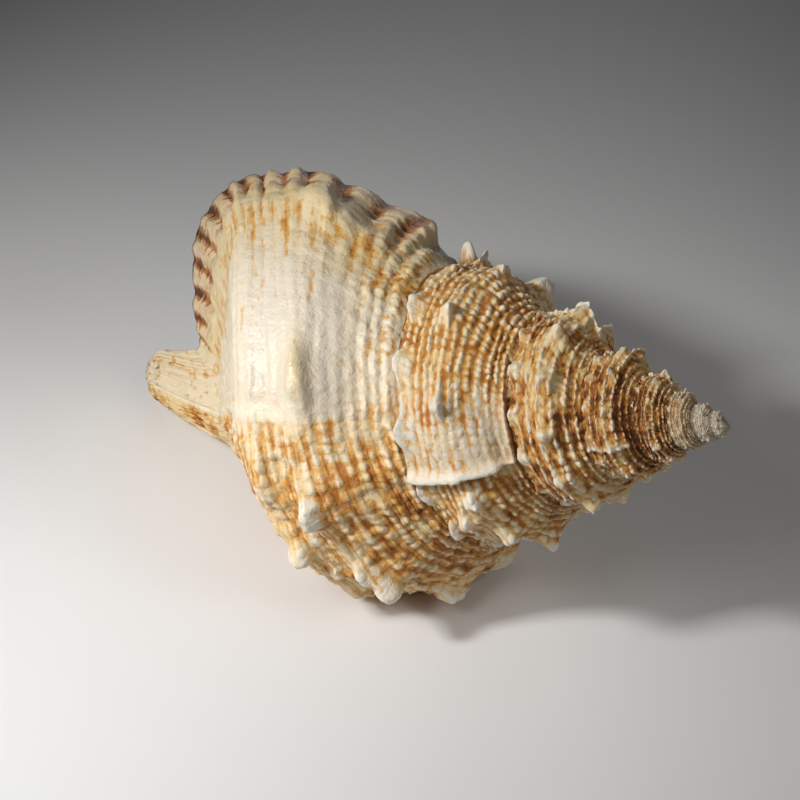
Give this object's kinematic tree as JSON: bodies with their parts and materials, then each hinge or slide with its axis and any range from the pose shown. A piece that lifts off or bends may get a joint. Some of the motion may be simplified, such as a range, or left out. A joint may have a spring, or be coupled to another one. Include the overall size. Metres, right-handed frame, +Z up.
{
  "type": "giant frog shell",
  "caption": "Heavy sea snail shell with a knobbed spire, old lip ridges, a flared scalloped outer lip, an open mouth and a canal.",
  "frame": {"origin": "middle of the bounding box, on the surface the shell lies on", "axes": "+Z up from the surface it lies on; +X toward the spire's tip; -X toward the canal; the mouth faces +Y and down, the back of the shell faces -Y"},
  "size_m": [0.1843, 0.1023, 0.094],
  "materials": {
    "shell": "natural calcium carbonate, cream with orange-brown stain, matt to slightly glossy"
  },
  "bodies": {
    "root": {"shell": "shell"}
  },
  "joints": []
}
